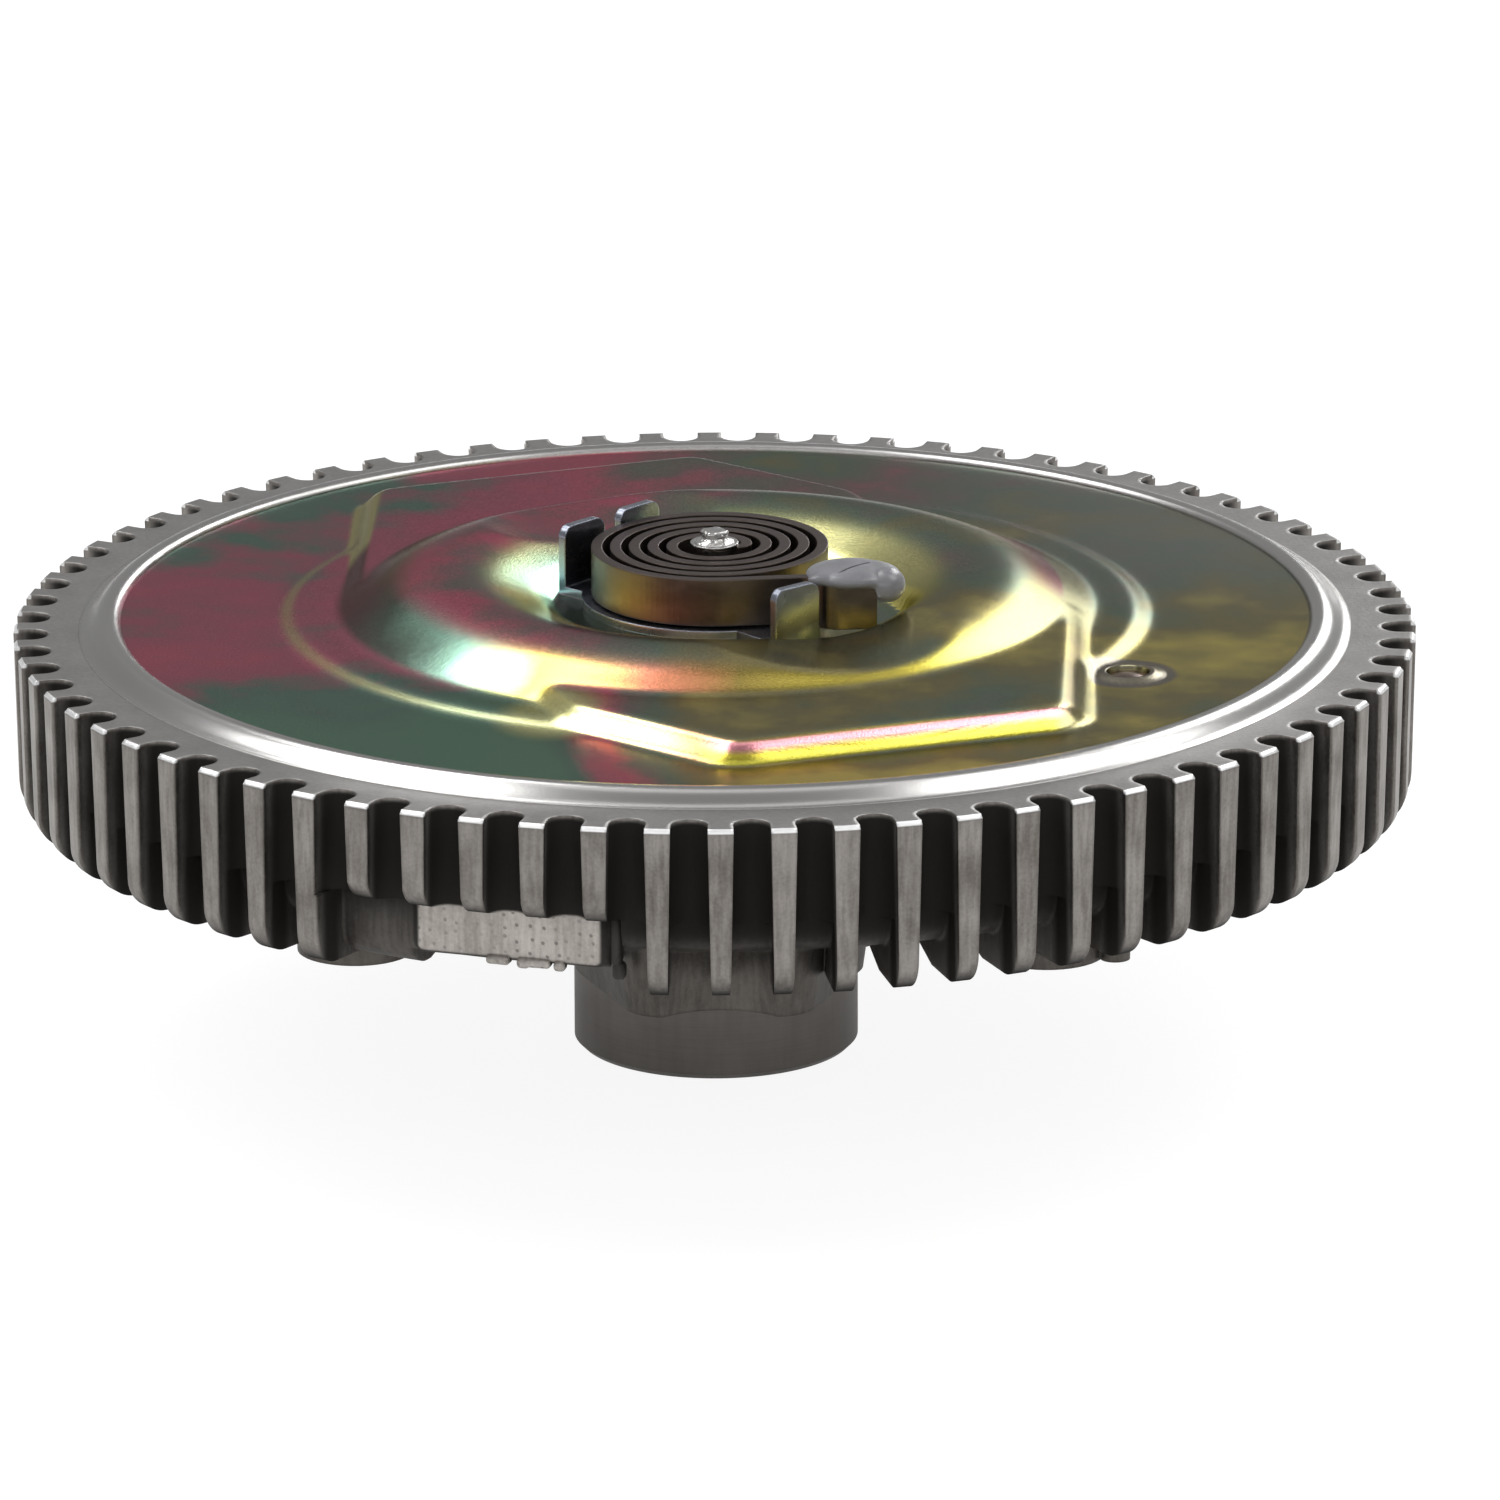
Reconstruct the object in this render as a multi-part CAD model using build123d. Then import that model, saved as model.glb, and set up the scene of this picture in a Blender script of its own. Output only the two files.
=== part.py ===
from build123d import *
import math
import os

# Viscous fan clutch, in millimetres.
# The origin is the centre of the hub's seat face and +Z runs along the shaft to the cover.

# Finned rim of the housing
rim_radius = 95.0
rim_height = 59.0
fin_count = 72
fin_depth = 4.75
fin_slot_width = 4.9
fin_length = 23.8
fin_draft = 1.0
fin_face_draft = 1.5
fin_corner_radius = 4.5
fin_edge_chamfer = 0.5
rib_flat_radius = 83.0
rib_end_radius = 69.5

# Housing shell
wall_draft = 0.6
back_wall = 5.0
back_face_height = 39.5
core_corner_radius = 5.5
chamber_radius = 77.0
lip_foot_radius = 85.1
lip_crest_radius = 82.6
lip_inner_radius = 80.5
lip_rise = 2.0
lip_fillet = 1.3
lip_brow_run = 0.7
lip_brow_drop = 0.25

# Marking pad and the short fins above it
pad_angle = -108.1
pad_distance = 89.0
pad_width = 27.2
pad_bottom = 38.0
pad_top = 45.2
pad_corner_radius = 2.0
pad_edge_radius = 1.2
pad_wall_radius = 88.6
pad_relief_margin = 1.7
short_fin_first = -120.0
short_fin_number = 5
short_fin_nose_radius = 4.2
shoulder_margin = 1.4
pad_clearance_angle = 0.3

# Fan bosses, front boss and ejector pip on the back
fan_bolt_circle = 155.0
fan_boss_count = 5
fan_boss_radius = 7.8
fan_boss_angle = -128.2
fan_boss_height = 32.4
fan_thread_radius = 3.4
fan_thread_depth = 10.0
front_boss_height = 30.7
front_boss_reach = 86.2
front_boss_width = 38.0
front_lobe_radius = 5.5
front_lobe_place = 7.2
front_shoulder_radius = 8.0
front_boss_back = -64.0
front_boss_draft = 8.0
front_saddle_radius = 11.0
front_saddle_depth = 3.0
pip_angle = -52.2
pip_radius = 2.0
pip_place = 85.0
boss_draft = 1.5

# Bearing and its boss
bearing_bore = 25.0
bearing_outside = 52.0
bearing_width = 15.0
bearing_bottom = 23.2
bearing_boss_wall = 5.0
bearing_boss_bottom = 20.0
bearing_boss_spread = 1.0
boss_root_radius = 4.0
throat_step = 4.0
ball_count = 9
ball_radius = 3.97
race_clearance = 0.05
ring_shoulder = 3.9
shield_thickness = 0.7
shield_inset = 0.4
shield_seat = 0.8
shield_gap = 0.3
cage_wall = 1.3
cage_height = 9.6
cage_clearance = 0.10
circlip_thickness = 1.6
circlip_depth = 1.5
circlip_width = 3.6
clip_gap = 4.0
ear_radius = 2.4
ear_offset = 0.6

# Shaft with its threaded hub
hub_radius = 19.35
hub_height = 18.0
hub_edge = 0.8
hub_thread_radius = 14.2
hub_thread_depth = 15.0
hub_thread_lead = 0.9
hub_relief_radius = 15.3
hub_relief_height = 2.2
shaft_collar_radius = 15.4
rotor_seat_radius = 11.0
shaft_end_chamfer = 0.5
shaft_clip_thickness = 1.2
shaft_clip_width = 2.6
shaft_clip_depth = 1.0

# Rotor and the lands it shares with the housing
rotor_radius = 76.2
rotor_disc = 4.6
rotor_hub_radius = 19.0
rotor_hub_length = 10.0
rotor_recess_radius = 14.0
rotor_recess_depth = 2.6
land_count = 4
land_pitch = 7.0
land_width = 2.9
land_height = 5.7
land_start = 47.0
land_end_gap = 0.8
port_radius = 3.5
port_count = 6
port_circle = 34.0

# Cover stamping
cover_radius = 83.0
cover_sheet = 1.8
cover_top = 60.3
step_radius = 57.0
step_rise = 1.0
step_run = 2.0
step_fillet = 3.0
dome_foot_radius = 51.5
dome_foot_fillet = 5.0
dome_peak_radius = 37.6
dome_peak_rise = 8.0
dome_crest_fillet = 20.0
pocket_lip_radius = 23.6
pocket_lip_rise = 2.9
pocket_lip_fillet = 1.6
pocket_radius = 21.9
pocket_rise = 1.5
pocket_foot_fillet = 0.8
pocket_lobe_radius = 16.6
pocket_lobe_angle = 20.0
pocket_lobe_x = 9.0
pocket_lobe_y = -8.0
trough_radius = 70.0
trough_rise = 4.0
trough_angle = -62.0
plateau_rise = 2.8
plateau_wall_angle = 32.0
plateau_corner_radius = 4.5
plateau_edge_fillet = 2.0
plateau_outer_radius = 45.0
plateau_inner_x = -26.8
plateau_inner_y = -38.1
plateau_left_x = -21.0
plateau_left_y = -52.5
plateau_front_x = 1.5
plateau_front_y = -71.5
plateau_right_x = 48.5
plateau_right_y = -54.5
plateau_side_x = 50.5
plateau_side_y = -5.0
plateau_buried = 33.6
fill_x = 55.0
fill_y = -30.0
fill_rim_radius = 4.3
fill_rim_rise = 0.5
fill_rim_angle = 25.0
fill_hole_radius = 2.9
fill_plug_drop = 0.6

# Seal, pump plate, wiper and valve
seal_section = 0.85
seal_radius = 81.4
plate_radius = 79.0
plate_thickness = 1.2
valve_port_circle = 33.0
valve_port_radius = 3.0
valve_port_angle = 140.0
return_port_radius = 1.6
return_port_circle = 60.0
return_port_angle = -75.0
wiper_length = 16.0
wiper_width = 5.0
wiper_thickness = 0.9
wiper_offset_angle = 12.0
rivet_radius = 1.2
arm_gap = 0.25
arm_thickness = 0.9
arm_width = 9.0
arm_tip_radius = 5.2
spindle_radius = 2.95
spindle_stub_radius = 2.2
spindle_tip_radius = 1.5
spindle_height = 72.0
spindle_seal_section = 0.7
bush_radius = 5.0
bush_flange_radius = 6.6
bush_flange = 1.0
bush_end_gap = 0.15
bush_nose_step = 0.4
bush_seal_height = 61.2
washer_thickness = 0.5
washer_overlap = 0.3

# Bimetal coil with its bracket and the silicone that locks its end
coil_strip = 1.5
coil_pitch = 2.55
coil_bottom = 63.3
coil_top = 69.75
coil_turn = 0.0
coil_inner_bend = 1.4
coil_half_turns = 9
coil_tail_sweep = 7.0
coil_tail_run = 9.2
hook_in_radius = 2.4
hook_in_angle = -62.0
hook_out_radius = 3.4
hook_out_angle = 60.0
hook_middle_run = 0.8
hook_end_run = 4.6
bracket_sheet = 1.2
bracket_bush_gap = 0.3
bracket_disc_radius = 18.0
bracket_wall_distance = 17.2
bracket_wall_angle = 137.0
bracket_wall_top = 71.4
bracket_wall_start = -11.2
bracket_wall_end = 7.6
bracket_notch_start = -3.3
bracket_notch_end = -0.1
bracket_notch_foot = 2.0
bracket_post_distance = 22.4
bracket_post_angle = -50.0
bracket_post_start = -9.3
bracket_post_end = -1.6
bracket_post_top = 70.3
bracket_corner = 1.6
silicone_x = 19.0
silicone_y = -14.2
silicone_length = 14.0
silicone_width = 11.0
silicone_turn = 25.0
silicone_rise = 1.6
silicone_taper = 35.0

# Fits
press_clearance = 0.02
running_clearance = 0.05
seat_clearance = 0.10

# How far a cut runs past the face that it opens, or a piece into the one it is joined to
overrun = 1.0


def polar(radius, angle, height=0.0):
    """Give the point at a radius and an angle in degrees round the shaft."""
    turn = math.radians(angle)
    return Vector(radius * math.cos(turn), radius * math.sin(turn), height)


def turned(outline):
    """Revolve a closed outline of (radius, height) points about the shaft."""
    points = [(radius, 0, height) for radius, height in outline]
    return revolve(make_face(Polyline(*points, close=True)), Axis.Z)


def disc(radius, bottom, top, x=0.0, y=0.0):
    """Make a plain cylinder between two heights."""
    return Pos(x, y, bottom) * extrude(Circle(radius), top - bottom)


def ring(outer, inner, bottom, top):
    """Make a plain ring between two heights."""
    return disc(outer, bottom, top) - disc(inner, bottom - overrun, top + overrun)


def block(x_low, x_high, y_low, y_high, bottom, top):
    """Make a plain block from its limits."""
    return Pos(x_low, y_low, bottom) * Box(
        x_high - x_low, y_high - y_low, top - bottom, align=(Align.MIN, Align.MIN, Align.MIN)
    )


def ribbon(start, heading, moves, width):
    """Trace a band of constant width along straight runs and tangent arcs."""
    turn = math.radians(heading)
    aim = Vector(math.cos(turn), math.sin(turn), 0)
    side = Vector(-aim.Y, aim.X, 0)
    edges = []
    ends = []
    for offset in (width / 2, -width / 2):
        place = Vector(*start) + side * offset
        first = place
        way = aim
        for radius, amount in moves:
            if radius == 0:
                edge = Line(place, place + way * amount)
            else:
                bend = radius - offset * math.copysign(1, amount)
                edge = JernArc(start=place, tangent=way, radius=bend, arc_size=amount)
            edges.append(edge)
            place = edge @ 1
            way = edge % 1
        ends.append((first, place))
    edges.append(Line(ends[0][0], ends[1][0]))
    edges.append(Line(ends[0][1], ends[1][1]))
    return make_face(edges)


# Heights that follow from the stack
seat_height = cover_top - cover_sheet
plate_bottom = seat_height - plate_thickness
chamber_floor = back_face_height + back_wall
rotor_bottom = chamber_floor + land_height + land_end_gap
rotor_top = rotor_bottom + rotor_disc
fin_bottom = rim_height - fin_length
bearing_radius = bearing_outside / 2
bearing_top = bearing_bottom + bearing_width
bearing_middle = bearing_bottom + bearing_width / 2
bearing_boss_radius = bearing_radius + bearing_boss_wall
pitch_radius = (bearing_bore + bearing_outside) / 4
inner_shoulder = bearing_bore / 2 + ring_shoulder
outer_shoulder = bearing_radius - ring_shoulder
arm_bottom = seat_height + arm_gap
arm_top = arm_bottom + arm_thickness
pocket_floor = cover_top + pocket_rise
washer_bottom = coil_top + seat_clearance
rotor_clip_bottom = rotor_top - rotor_recess_depth
bracket_top = pocket_floor + bracket_sheet


def make_core():
    """Outer wall, back wall, bearing boss and rolled lip of the casting, before its fins."""
    lip_top = rim_height + lip_rise
    wall_radius = rim_radius - fin_depth
    wall_foot = wall_radius - (rim_height - back_face_height) * math.tan(math.radians(wall_draft))
    core = turned([
        (0, bearing_boss_bottom),
        (bearing_boss_radius, bearing_boss_bottom),
        (bearing_boss_radius + bearing_boss_spread, back_face_height),
        (wall_foot, back_face_height),
        (wall_radius, rim_height),
        (0, rim_height),
    ])
    circles = core.edges().filter_by(GeomType.CIRCLE)
    core = fillet(circles.filter_by(lambda e: abs(e.radius - wall_foot) < 0.01), core_corner_radius)
    circles = core.edges().filter_by(GeomType.CIRCLE)
    spread_radius = bearing_boss_radius + bearing_boss_spread
    core = fillet(circles.filter_by(lambda e: abs(e.radius - spread_radius) < 0.01), boss_root_radius)
    circles = core.edges().filter_by(GeomType.CIRCLE)
    core = chamfer(circles.filter_by(lambda e: abs(e.radius - bearing_boss_radius) < 0.01), fin_edge_chamfer)

    foot = Vector(lip_foot_radius, 0, rim_height)
    neck = Vector(lip_foot_radius - lip_fillet, 0, rim_height + lip_fillet)
    inset = lip_fillet * math.sin(math.radians(45))
    hollow = Vector(lip_foot_radius - inset, 0, rim_height + lip_fillet - inset)
    crest = Vector(lip_crest_radius, 0, lip_top)
    brow = Vector(lip_inner_radius + lip_brow_run, 0, lip_top - lip_brow_drop)
    nose = Vector(lip_inner_radius, 0, cover_top)
    inner_foot = Vector(lip_inner_radius, 0, rim_height - overrun)
    outer_foot = Vector(lip_foot_radius, 0, rim_height - overrun)
    lip_outline = [
        ThreePointArc(foot, hollow, neck),
        ThreePointArc(neck, crest, brow),
        Line(brow, nose),
        Line(nose, inner_foot),
        Line(inner_foot, outer_foot),
        Line(outer_foot, foot),
    ]
    return core + revolve(make_face(lip_outline), Axis.Z)


def make_fin_ring():
    """Ring of fins that wraps the lower corner on to the back as short ribs."""
    wall_radius = rim_radius - fin_depth
    face_drop = (fin_length - fin_corner_radius) * math.tan(math.radians(fin_face_draft))
    face_foot = rim_radius - face_drop
    slot_floor = back_face_height + core_corner_radius
    buried_radius = wall_radius - 2 * overrun
    fin_ring = turned([
        (rib_end_radius, back_face_height + overrun),
        (rib_end_radius, back_face_height),
        (rib_flat_radius, fin_bottom),
        (face_foot, fin_bottom),
        (rim_radius, rim_height),
        (buried_radius, rim_height),
        (buried_radius, slot_floor + overrun),
    ])
    circles = fin_ring.edges().filter_by(GeomType.CIRCLE)
    fin_ring = fillet(circles.filter_by(lambda e: abs(e.radius - face_foot) < 0.01), fin_corner_radius)
    circles = fin_ring.edges().filter_by(GeomType.CIRCLE)
    fin_ring = chamfer(circles.filter_by(lambda e: abs(e.radius - rim_radius) < 0.01), fin_edge_chamfer)

    # One slot is a drafted cut with a round root, and a channel under the back corner
    half_slot = fin_slot_width / 2
    slot_centre = wall_radius + half_slot
    slot_plan = Pos(slot_centre, 0) * Circle(half_slot)
    slot_plan += Pos(slot_centre + fin_depth, 0) * Rectangle(2 * fin_depth, fin_slot_width)
    top = Pos(0, 0, rim_height)
    down = (0, 0, -1)
    deep_slot = top * extrude(slot_plan, fin_length + overrun, dir=down, taper=-fin_draft)
    short_slot = top * extrude(slot_plan, rim_height - pad_top, dir=down, taper=-fin_draft)
    half_channel = half_slot + fin_length * math.tan(math.radians(fin_draft))
    channel = block(
        rib_end_radius - overrun, slot_centre, -half_channel, half_channel, fin_bottom - overrun, slot_floor
    )

    pitch = 360 / fin_count
    tools = []
    for n in range(fin_count):
        angle = short_fin_first - pitch / 2 + pitch * n
        if n < short_fin_number:
            tools.append(Rot(0, 0, angle) * short_slot)
        else:
            tools.append(Rot(0, 0, angle) * deep_slot)
            tools.append(Rot(0, 0, angle) * channel)
    return fin_ring - tools


def make_pad_relief():
    """Space under the short fins: outside the wall and shoulder, and below the wall with the pad."""
    below = fin_bottom - overrun
    outside = rim_radius + overrun
    nose = short_fin_nose_radius
    corner = fin_corner_radius
    inner = rib_end_radius - overrun
    diagonal = 1 - math.sin(math.radians(45))
    nose_end = Vector(rim_radius - nose, 0, pad_top)
    nose_middle = Vector(rim_radius - nose * diagonal, 0, pad_top + nose * diagonal)
    nose_start = Vector(rim_radius, 0, pad_top + nose)
    corner_top = Vector(pad_wall_radius, 0, fin_bottom + corner)
    corner_middle = Vector(pad_wall_radius - corner * diagonal, 0, fin_bottom + corner * diagonal)
    corner_foot = Vector(pad_wall_radius - corner, 0, fin_bottom)
    outline = [
        Polyline(nose_end, (pad_wall_radius, 0, pad_top), corner_top),
        ThreePointArc(corner_top, corner_middle, corner_foot),
        Polyline(
            corner_foot, (pad_wall_radius - corner, 0, below), (outside, 0, below),
            (outside, 0, pad_top + nose), nose_start,
        ),
        ThreePointArc(nose_start, nose_middle, nose_end),
    ]
    pitch = 360 / fin_count
    end = short_fin_first + pitch * (short_fin_number - 1) + pad_relief_margin
    start = short_fin_first - pitch / 2 - shoulder_margin
    front = Rot(0, 0, start) * revolve(make_face(outline), Axis.Z, revolution_arc=end - start)

    plan = [(inner, 0, below), (inner, 0, pad_bottom), (outside, 0, pad_bottom), (outside, 0, below)]
    pad_start = pad_angle - math.degrees(pad_width / 2 / pad_distance) - pad_clearance_angle
    under = revolve(make_face(Polyline(*plan, close=True)), Axis.Z, revolution_arc=end - pad_start)
    return [front, Rot(0, 0, pad_start) * under]


def make_front_boss():
    """Broad two-lobed boss under the rim at the front."""
    lobe_y = front_lobe_radius - front_boss_reach
    back_x = front_boss_width / 2 - front_shoulder_radius
    rounds = []
    for side in (-1, 1):
        rounds.append(Pos(side * front_lobe_place, lobe_y) * Circle(front_lobe_radius).edge())
        rounds.append(Pos(side * back_x, front_boss_back) * Circle(front_shoulder_radius).edge())
    plan = make_hull(rounds)
    saddle_y = front_saddle_depth - front_boss_reach - front_saddle_radius
    saddle = Pos(0, saddle_y) * Circle(front_saddle_radius)
    height = back_face_height + core_corner_radius - front_boss_height
    return Pos(0, 0, front_boss_height) * extrude(plan - saddle, height, taper=-front_boss_draft)


def make_cavity():
    """Everything turned out of the casting: bearing bore, chamber, lands, seats and groove."""
    bore = bearing_radius + press_clearance
    clip_low = bearing_bottom - circlip_thickness - seat_clearance
    throat = bearing_radius - throat_step
    seal_low = seat_height - 2 * seal_section - 2 * press_clearance
    seal_inner = seal_radius - seal_section - seat_clearance
    seal_outer = seal_radius + seal_section + seat_clearance
    plate_bore = plate_radius + seat_clearance
    cover_bore = cover_radius + seat_clearance
    above = rim_height + lip_rise + overrun
    outline = [
        (0, bearing_boss_bottom - overrun),
        (bore, bearing_boss_bottom - overrun),
        (bore, clip_low),
        (bore + circlip_depth, clip_low),
        (bore + circlip_depth, bearing_bottom),
        (bore, bearing_bottom),
        (bore, bearing_top),
        (throat, bearing_top),
        (throat, chamber_floor),
    ]
    for n in range(land_count):
        start = land_start + n * land_pitch
        outline.append((start, chamber_floor))
        outline.append((start, chamber_floor + land_height))
        outline.append((start + land_width, chamber_floor + land_height))
        outline.append((start + land_width, chamber_floor))
    outline += [
        (chamber_radius, chamber_floor),
        (chamber_radius, plate_bottom),
        (plate_bore, plate_bottom),
        (plate_bore, seat_height),
        (seal_inner, seat_height),
        (seal_inner, seal_low),
        (seal_outer, seal_low),
        (seal_outer, seat_height),
        (cover_bore, seat_height),
        (cover_bore, cover_top),
        (lip_inner_radius, cover_top),
        (lip_inner_radius, above),
        (0, above),
    ]
    return turned(outline)


def make_housing():
    """Cast aluminium body with fins, pad, fan bosses and the turned inside."""
    boss_top = back_face_height + back_wall / 2
    body = make_core() + make_fin_ring() - make_pad_relief()
    pad = block(rib_end_radius, pad_distance, -pad_width / 2, pad_width / 2, pad_bottom, pad_top)
    pad = fillet(pad.edges().filter_by(Axis.Z).sort_by(Axis.X)[-2:], pad_corner_radius)
    pad = fillet(pad.edges().group_by(Axis.Z)[0].sort_by(Axis.X)[1:], pad_edge_radius)
    boss = extrude(Circle(fan_boss_radius), boss_top - fan_boss_height, taper=-boss_draft)
    bosses = [Rot(0, 0, pad_angle) * pad, make_front_boss()]
    holes = [make_cavity()]
    for n in range(fan_boss_count):
        angle = fan_boss_angle + n * 360 / fan_boss_count
        bosses.append(Pos(polar(fan_bolt_circle / 2, angle, fan_boss_height)) * boss)
        hole = disc(fan_thread_radius, fan_boss_height - overrun, fan_boss_height + fan_thread_depth)
        holes.append(Pos(polar(fan_bolt_circle / 2, angle)) * hole)
    pip = extrude(Circle(pip_radius), boss_top - fan_boss_height, taper=-boss_draft)
    bosses.append(Pos(polar(pip_place, pip_angle, fan_boss_height)) * pip)
    body = body + bosses
    return body - holes


def cover_form(drop, rim):
    """Solid under the cover's upper face, lowered by a drop and cut off at a rim radius."""
    base = cover_top - drop
    floor = base - 2 * dome_peak_rise
    step = base + step_rise
    upper = FilletPolyline(
        (rim, 0, base),
        (step_radius + step_run, 0, base),
        (step_radius, 0, step),
        (dome_foot_radius, 0, step),
        (dome_peak_radius, 0, base + dome_peak_rise),
        (pocket_lip_radius, 0, base + pocket_lip_rise),
        (pocket_radius, 0, base + pocket_rise),
        (0, 0, base + pocket_rise),
        radius=[
            step_fillet, step_fillet, dome_foot_fillet, dome_crest_fillet, pocket_lip_fillet,
            pocket_foot_fillet,
        ],
    )
    lower = Polyline((0, 0, base + pocket_rise), (0, 0, floor), (rim, 0, floor), (rim, 0, base))
    form = revolve(make_face([upper, lower]), Axis.Z)

    corners = [
        (plateau_inner_x, plateau_inner_y),
        (plateau_left_x, plateau_left_y),
        (plateau_front_x, plateau_front_y),
        (plateau_right_x, plateau_right_y),
        (plateau_side_x, plateau_side_y),
        (plateau_buried, 0),
        (0, -plateau_buried),
    ]
    plan = make_face(Polyline(*corners, close=True))
    plan = fillet(plan.vertices().sort_by(Axis.Y)[:3], plateau_corner_radius)
    plateau = Pos(0, 0, base) * extrude(plan, plateau_rise, taper=plateau_wall_angle)
    brows = plateau.edges().group_by(Axis.Z)[-1]
    brows = brows.filter_by(lambda e: math.hypot((e @ 0.5).X, (e @ 0.5).Y) > plateau_outer_radius)
    plateau = fillet(brows, plateau_edge_fillet)
    form = form + [plateau, Rot(0, 0, 180) * plateau]

    trough = Pos(0, 0, base + trough_rise + trough_radius) * Rot(0, 90, 0) * Cylinder(trough_radius, 3 * rim)
    lobe = Pos(pocket_lobe_x, pocket_lobe_y, base + pocket_rise) * extrude(
        Circle(pocket_lobe_radius), dome_peak_rise, taper=-pocket_lobe_angle
    )
    return form - [Rot(0, 0, trough_angle) * trough, lobe]


def make_cover():
    """Stamped steel cover: one sheet, raised into steps, plateaus and a ring round the coil."""
    sheet = cover_form(0, cover_radius) - cover_form(cover_sheet, cover_radius + overrun)
    collar = Pos(fill_x, fill_y, cover_top - cover_sheet / 2)
    sheet += collar * extrude(Circle(fill_rim_radius), cover_sheet / 2 + fill_rim_rise, taper=fill_rim_angle)
    bush_hole = disc(bush_radius + press_clearance, seat_height, pocket_floor + overrun)
    fill_hole = disc(fill_hole_radius, seat_height - overrun, cover_top + overrun, fill_x, fill_y)
    return sheet - [bush_hole, fill_hole]


def make_fill_plug():
    """Pressed-in steel plug with a domed top that closes the oil filling hole."""
    radius = fill_hole_radius - press_clearance
    shoulder = (radius, 0, cover_top - fill_plug_drop)
    crown = (0, 0, cover_top)
    sides = Polyline(shoulder, (radius, 0, seat_height), (0, 0, seat_height), crown)
    dome = TangentArc(crown, shoulder, tangent=(1, 0, 0))
    return Pos(fill_x, fill_y, 0) * revolve(make_face([sides, dome]), Axis.Z)


def make_cover_seal():
    """Rubber ring in the groove under the rim of the cover."""
    return Pos(0, 0, seat_height - seal_section - press_clearance) * Torus(seal_radius, seal_section)


def make_pump_plate():
    """Steel partition between the oil store and the rotor, with its valve and return ports."""
    plate = disc(plate_radius, plate_bottom, seat_height)
    holes = []
    low = plate_bottom - overrun
    high = seat_height + overrun
    for side in (0, 180):
        place = polar(valve_port_circle, valve_port_angle + side)
        holes.append(disc(valve_port_radius, low, high, place.X, place.Y))
        place = polar(return_port_circle, return_port_angle + side)
        holes.append(disc(return_port_radius, low, high, place.X, place.Y))
        for place in wiper_rivet_places(side):
            holes.append(disc(rivet_radius + press_clearance, low, high, place.X, place.Y))
    return plate - holes


def wiper_rivet_places(side):
    """Places of the two rivets of the wiper on one side."""
    half = wiper_length / 4
    spread = math.degrees(half / return_port_circle)
    middle = return_port_angle + wiper_offset_angle + side
    return [polar(return_port_circle, middle - spread), polar(return_port_circle, middle + spread)]


def make_wipers():
    """Small plates under the pump plate that scoop the oil off the rotor into the return ports."""
    middle = return_port_angle + wiper_offset_angle
    half = wiper_length / 2
    low = plate_bottom - wiper_thickness
    near = return_port_circle - wiper_width / 2
    strip = block(near, near + wiper_width, -half, half, low, plate_bottom)
    wipers = []
    for side in (0, 180):
        wiper = Rot(0, 0, middle + side) * strip
        for place in wiper_rivet_places(side):
            wiper -= disc(rivet_radius + press_clearance, low - overrun, seat_height, place.X, place.Y)
        wipers.append(wiper)
    return wipers


def make_wiper_rivets():
    """Rivets that hold both wipers to the pump plate."""
    rivets = []
    for side in (0, 180):
        for place in wiper_rivet_places(side):
            rivets.append(disc(rivet_radius, plate_bottom - wiper_thickness, seat_height, place.X, place.Y))
    return rivets


def make_valve_arm():
    """Flat steel arm that covers both valve ports when the coil is cold."""
    arm = Rectangle(2 * valve_port_circle, arm_width)
    arm += Pos(valve_port_circle, 0) * Circle(arm_tip_radius)
    arm += Pos(-valve_port_circle, 0) * Circle(arm_tip_radius)
    arm -= Circle(spindle_stub_radius + press_clearance)
    return Pos(0, 0, arm_bottom) * Rot(0, 0, valve_port_angle) * extrude(arm, arm_thickness)


def make_valve_spindle():
    """Turned pin through the cover, with a slot for the coil and a tip closed over the washer."""
    slot = coil_strip / 2 + running_clearance
    pin = disc(spindle_stub_radius, arm_bottom, arm_top) + disc(spindle_radius, arm_top, washer_bottom)
    slot_low = coil_bottom - seat_clearance
    reach = 2 * spindle_radius
    pin -= Rot(0, 0, coil_turn) * block(-reach, reach, -slot, slot, slot_low, washer_bottom)
    tip = disc(spindle_tip_radius, washer_bottom, spindle_height)
    tip = fillet(tip.edges().sort_by(Axis.Z)[-1], spindle_tip_radius / 2)
    return pin + tip


def make_coil_washer():
    """Washer over the slot, under the closed tip of the spindle."""
    washer = ring(
        spindle_radius + washer_overlap, spindle_tip_radius + press_clearance, washer_bottom,
        washer_bottom + washer_thickness,
    )
    return washer


def make_spindle_bush():
    """Flanged bronze bush, pressed into the cover, in which the spindle turns."""
    bush = disc(bush_radius, arm_top + bush_end_gap, pocket_floor)
    bush += disc(bush_flange_radius, pocket_floor, pocket_floor + bush_flange)
    bush += disc(bush_radius - bush_nose_step, pocket_floor + bush_flange, coil_bottom - 2 * seat_clearance)
    groove = ring(
        spindle_radius + 2 * spindle_seal_section + seat_clearance + running_clearance, spindle_radius,
        bush_seal_height - spindle_seal_section - seat_clearance,
        bush_seal_height + spindle_seal_section + seat_clearance,
    )
    return bush - disc(spindle_radius + running_clearance, seat_height, coil_bottom) - groove


def make_spindle_seal():
    """Small rubber ring that seals the spindle in its bush."""
    radius = spindle_radius + running_clearance + spindle_seal_section
    return Pos(0, 0, bush_seal_height) * Torus(radius, spindle_seal_section)


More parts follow.
